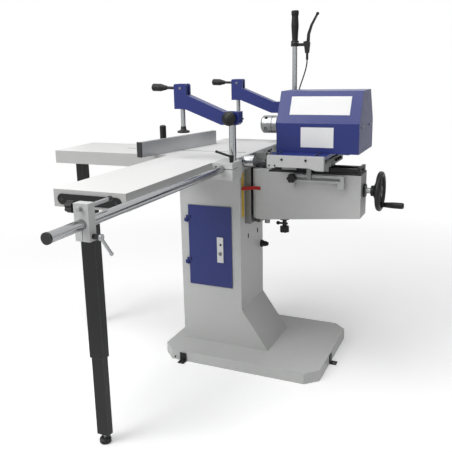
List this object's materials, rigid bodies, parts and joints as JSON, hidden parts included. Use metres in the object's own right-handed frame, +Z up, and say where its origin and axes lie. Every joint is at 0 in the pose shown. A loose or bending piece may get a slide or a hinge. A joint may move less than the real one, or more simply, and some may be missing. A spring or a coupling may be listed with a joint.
{
  "type": "horizontal slot mortiser",
  "caption": "Floor-standing horizontal slot mortiser: column with work tables, angled fence, cam clamps and length stop, beside a handwheel-raised knee with sliding motor head.",
  "frame": {"origin": "centre of the base footprint, on the floor", "axes": "+X along the spindle from chuck to motor, +Y to the back, +Z up"},
  "size_m": [1.3354, 1.54, 1.308],
  "materials": {
    "grey_paint": "light grey powder coat",
    "blue_paint": "dark blue paint, semi-gloss",
    "table_white": "glossy white enamel",
    "black_paint": "black powder coat",
    "black_plastic": "moulded black plastic",
    "steel": "ground steel",
    "chrome": "polished",
    "alloy": "extruded, anodised",
    "motor_alloy": "cast",
    "red_paint": "red paint"
  },
  "bodies": {
    "frame": {"base_plate": "grey_paint", "anchor_brackets": "black_paint", "column_shell": "grey_paint", "column_front": "grey_paint", "column_foot": "grey_paint", "cable_gland": "black_plastic", "column_way": "steel", "lift_screw": "steel", "main_table": "table_white", "table_rail": "steel", "front_extension": "table_white", "side_extension": "table_white", "leg_sleeves": "black_paint", "corner_blocks": "grey_paint"},
    "door": {"column_door": "blue_paint"},
    "latch": {"latch_cam": "steel"},
    "front_leg": {"front_leg": "black_paint"},
    "side_leg": {"side_leg": "black_paint"},
    "stop_bar": {"stop_bar": "chrome"},
    "bar_lever": {"bar_lever": "black_plastic"},
    "stop_block": {"stop_block": "grey_paint"},
    "stop_pin": {"stop_pin": "steel"},
    "stop_knob": {"stop_knob": "black_plastic"},
    "stop_lever": {"stop_lever": "steel"},
    "fence_bolt": {"fence_bolt": "steel"},
    "fence": {"fence": "alloy"},
    "fence_handle": {"fence_handle": "black_plastic"},
    "knee": {"knee_block": "grey_paint", "knee_box": "grey_paint", "rail_bed": "black_paint", "height_pointer": "red_paint", "depth_stop": "grey_paint"},
    "depth_knob": {"depth_knob": "black_plastic"},
    "knee_lock": {"knee_lock": "black_plastic"},
    "lift_nut": {"lift_nut": "steel"},
    "handwheel": {"handwheel_shaft": "steel", "handwheel": "black_paint"},
    "handwheel_grip": {"handwheel_grip": "black_plastic"},
    "saddle": {"saddle": "grey_paint"},
    "head": {"motor_plate": "blue_paint", "slide_frame": "steel", "motor": "motor_alloy", "hood": "blue_paint", "joystick": "chrome", "joystick_grip": "black_plastic", "brake_cable": "black_plastic"},
    "spindle": {"spindle": "steel", "chuck": "chrome"},
    "brake_lever": {"brake_lever": "black_plastic"},
    "front_post": {"front_post": "chrome"},
    "front_arm": {"front_arm": "blue_paint"},
    "front_cam_lever": {"front_cam_lever": "black_plastic"},
    "front_plunger": {"front_plunger": "steel"},
    "front_arm_knob": {"front_arm_knob": "black_plastic"},
    "rear_post": {"rear_post": "chrome"},
    "rear_arm": {"rear_arm": "blue_paint"},
    "rear_cam_lever": {"rear_cam_lever": "black_plastic"},
    "rear_plunger": {"rear_plunger": "steel"},
    "rear_arm_knob": {"rear_arm_knob": "black_plastic"}
  },
  "joints": [
    {"name": "door_hinge", "type": "hinge", "parent": "frame", "child": "door", "pos_m": [-0.237, -0.126, 0.44], "axis": [0, 0, -1], "range_deg": [0, 110]},
    {"name": "latch_turn", "type": "hinge", "parent": "door", "child": "latch", "pos_m": [-0.099, -0.126, 0.415], "axis": [0, -1, 0], "range_deg": [0, 90]},
    {"name": "front_leg_slide", "type": "slide", "parent": "frame", "child": "front_leg", "axis": [0, 0, 1], "range_m": [0, 0.1]},
    {"name": "side_leg_slide", "type": "slide", "parent": "frame", "child": "side_leg", "axis": [0, 0, 1], "range_m": [0, 0.1]},
    {"name": "stop_bar_slide", "type": "slide", "parent": "frame", "child": "stop_bar", "axis": [0, -1, 0], "range_m": [0, 0.03]},
    {"name": "bar_lever_turn", "type": "hinge", "parent": "frame", "child": "bar_lever", "pos_m": [0.029, -0.3, 0.81], "axis": [0, 0, 1], "range_deg": [-45, 45]},
    {"name": "stop_slide", "type": "slide", "parent": "stop_bar", "child": "stop_block", "axis": [0, 1, 0], "range_m": [-0.06, 0.6]},
    {"name": "stop_pin_slide", "type": "slide", "parent": "stop_block", "child": "stop_pin", "axis": [0, 1, 0], "range_m": [-0.03, 0.012]},
    {"name": "stop_knob_turn", "type": "hinge", "parent": "stop_block", "child": "stop_knob", "pos_m": [-0.03, -1.081, 0.816], "axis": [1, 0, 0], "range_deg": [-90, 90]},
    {"name": "stop_lever_turn", "type": "hinge", "parent": "stop_block", "child": "stop_lever", "pos_m": [0.03, -1.081, 0.751], "axis": [1, 0, 0], "range_deg": [-60, 60]},
    {"name": "fence_slide", "type": "slide", "parent": "frame", "child": "fence_bolt", "axis": [1, 0, 0], "range_m": [-0.14, 0.04]},
    {"name": "fence_turn", "type": "hinge", "parent": "fence_bolt", "child": "fence", "pos_m": [-0.359, -0.068, 0.81], "axis": [0, 0, 1], "range_deg": [-20, 20]},
    {"name": "fence_handle_turn", "type": "hinge", "parent": "fence_bolt", "child": "fence_handle", "pos_m": [-0.359, -0.068, 0.85], "axis": [0, 0, 1], "range_deg": [-180, 180]},
    {"name": "front_post_turn", "type": "hinge", "parent": "frame", "child": "front_post", "pos_m": [0.0145, -0.253, 0.8], "axis": [0, 0, 1], "range_deg": [-30, 30]},
    {"name": "front_arm_slide", "type": "slide", "parent": "front_post", "child": "front_arm", "axis": [0, 0, 1], "range_m": [-0.075, 0.01]},
    {"name": "front_cam_turn", "type": "hinge", "parent": "front_arm", "child": "front_cam_lever", "pos_m": [-0.1715, -0.253, 1.043], "axis": [0, 1, 0], "range_deg": [0, 90]},
    {"name": "front_plunger_slide", "type": "slide", "parent": "front_arm", "child": "front_plunger", "axis": [0, 0, 1], "range_m": [0, 0.008]},
    {"name": "front_arm_knob_turn", "type": "hinge", "parent": "front_arm", "child": "front_arm_knob", "pos_m": [0.0145, -0.283, 0.943], "axis": [0, 1, 0], "range_deg": [-180, 180]},
    {"name": "rear_post_turn", "type": "hinge", "parent": "frame", "child": "rear_post", "pos_m": [0.0145, 0.253, 0.8], "axis": [0, 0, 1], "range_deg": [-30, 30]},
    {"name": "rear_arm_slide", "type": "slide", "parent": "rear_post", "child": "rear_arm", "axis": [0, 0, 1], "range_m": [-0.075, 0.01]},
    {"name": "rear_cam_turn", "type": "hinge", "parent": "rear_arm", "child": "rear_cam_lever", "pos_m": [-0.1715, 0.253, 1.043], "axis": [0, 1, 0], "range_deg": [0, 90]},
    {"name": "rear_plunger_slide", "type": "slide", "parent": "rear_arm", "child": "rear_plunger", "axis": [0, 0, 1], "range_m": [0, 0.008]},
    {"name": "rear_arm_knob_turn", "type": "hinge", "parent": "rear_arm", "child": "rear_arm_knob", "pos_m": [0.0145, 0.283, 0.943], "axis": [0, 1, 0], "range_deg": [-180, 180]},
    {"name": "knee_lift", "type": "slide", "parent": "frame", "child": "knee", "axis": [0, 0, 1], "range_m": [-0.055, 0.028]},
    {"name": "handwheel_turn", "type": "hinge", "parent": "knee", "child": "handwheel", "pos_m": [0.46, -0.026, 0.676], "axis": [1, 0, 0], "range_deg": [-4945, 2515]},
    {"name": "lift_nut_turn", "type": "hinge", "parent": "knee", "child": "lift_nut", "pos_m": [0.056, -0.026, 0.64], "axis": [0, 0, 1], "range_deg": [-4950, 2520]},
    {"name": "grip_spin", "type": "hinge", "parent": "handwheel", "child": "handwheel_grip", "pos_m": [0.5, -0.01254, 0.62577], "axis": [1, 0, 0], "continuous": true},
    {"name": "depth_knob_slide", "type": "slide", "parent": "knee", "child": "depth_knob", "axis": [1, 0, 0], "range_m": [0, 0.018]},
    {"name": "knee_lock_turn", "type": "hinge", "parent": "knee", "child": "knee_lock", "pos_m": [0.122, -0.018, 0.5], "axis": [0, 0, 1], "range_deg": [-90, 90]},
    {"name": "plunge_slide", "type": "slide", "parent": "knee", "child": "saddle", "axis": [1, 0, 0], "range_m": [-0.02, 0.085]},
    {"name": "cross_slide", "type": "slide", "parent": "saddle", "child": "head", "axis": [0, 1, 0], "range_m": [-0.075, 0.075]},
    {"name": "spindle_spin", "type": "hinge", "parent": "head", "child": "spindle", "pos_m": [0.06, 0, 0.899], "axis": [1, 0, 0], "continuous": true},
    {"name": "brake_squeeze", "type": "hinge", "parent": "head", "child": "brake_lever", "pos_m": [0.1565, 0.147, 1.188], "axis": [0, -1, 0], "range_deg": [0, 25], "stiffness_Nm_per_rad": 0.6}
  ],
  "couplings": [
    {"joint": "front_plunger_slide", "follows": "front_cam_turn", "m_per_rad": 0.00509},
    {"joint": "rear_plunger_slide", "follows": "rear_cam_turn", "m_per_rad": 0.00509},
    {"joint": "knee_lift", "follows": "handwheel_turn", "m_per_rad": 0.00063662},
    {"joint": "lift_nut_turn", "follows": "handwheel_turn", "ratio": 1}
  ]
}
